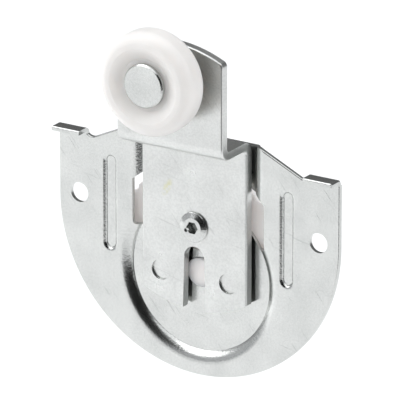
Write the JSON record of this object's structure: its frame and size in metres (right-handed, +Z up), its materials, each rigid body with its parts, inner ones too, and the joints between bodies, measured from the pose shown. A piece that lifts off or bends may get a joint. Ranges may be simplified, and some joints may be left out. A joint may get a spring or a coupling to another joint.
{
  "type": "sliding door roller",
  "caption": "Half-round steel door plate with a bent hanger that slides in a pressed channel, a height dial behind it and a nylon wheel on a rivet.",
  "frame": {"origin": "midway between the two screw holes, on the mounting plate's front face", "axes": "+X to the right seen from the wheel side, +Y from the wheel side through the plate to the dial, +Z up towards the track"},
  "size_m": [0.068, 0.0265, 0.0802],
  "materials": {
    "plated_sheet": "bright zinc-plated pressed sheet steel, satin, with fine handling scratches",
    "plated_strip": "bright zinc-plated bent steel strip, satin, with fine rolling lines",
    "plated_rivet": "zinc-plated turned and staked steel, satin",
    "dial_nylon": "natural nylon, faintly pink, slightly translucent, satin",
    "wheel_nylon": "white nylon, slightly translucent, smooth satin"
  },
  "bodies": {
    "plate": {"mounting_plate": "plated_sheet"},
    "dial": {"adjusting_dial": "dial_nylon"},
    "hanger": {"hanger_plate": "plated_strip", "follower_rivet": "plated_rivet", "follower_washer": "plated_rivet", "wheel_rivet": "plated_rivet", "wheel_washer": "plated_rivet", "wheel_spacer": "plated_rivet"},
    "wheel": {"roller_wheel": "wheel_nylon"}
  },
  "joints": [
    {"name": "dial_turn", "type": "hinge", "parent": "plate", "child": "dial", "pos_m": [0, 0.00335, -0.0123], "axis": [0, 1, 0], "range_deg": [-100.1, 170.1]},
    {"name": "hanger_slide", "type": "slide", "parent": "plate", "child": "hanger", "axis": [0, 0, 1], "range_m": [-0.00322, 0.00548]},
    {"name": "wheel_spin", "type": "hinge", "parent": "hanger", "child": "wheel", "pos_m": [0, -0.0174, 0.0344], "axis": [0, 1, 0], "continuous": true}
  ],
  "couplings": [
    {"joint": "dial_turn", "follows": "hanger_slide", "rad_per_m": 541.65}
  ]
}
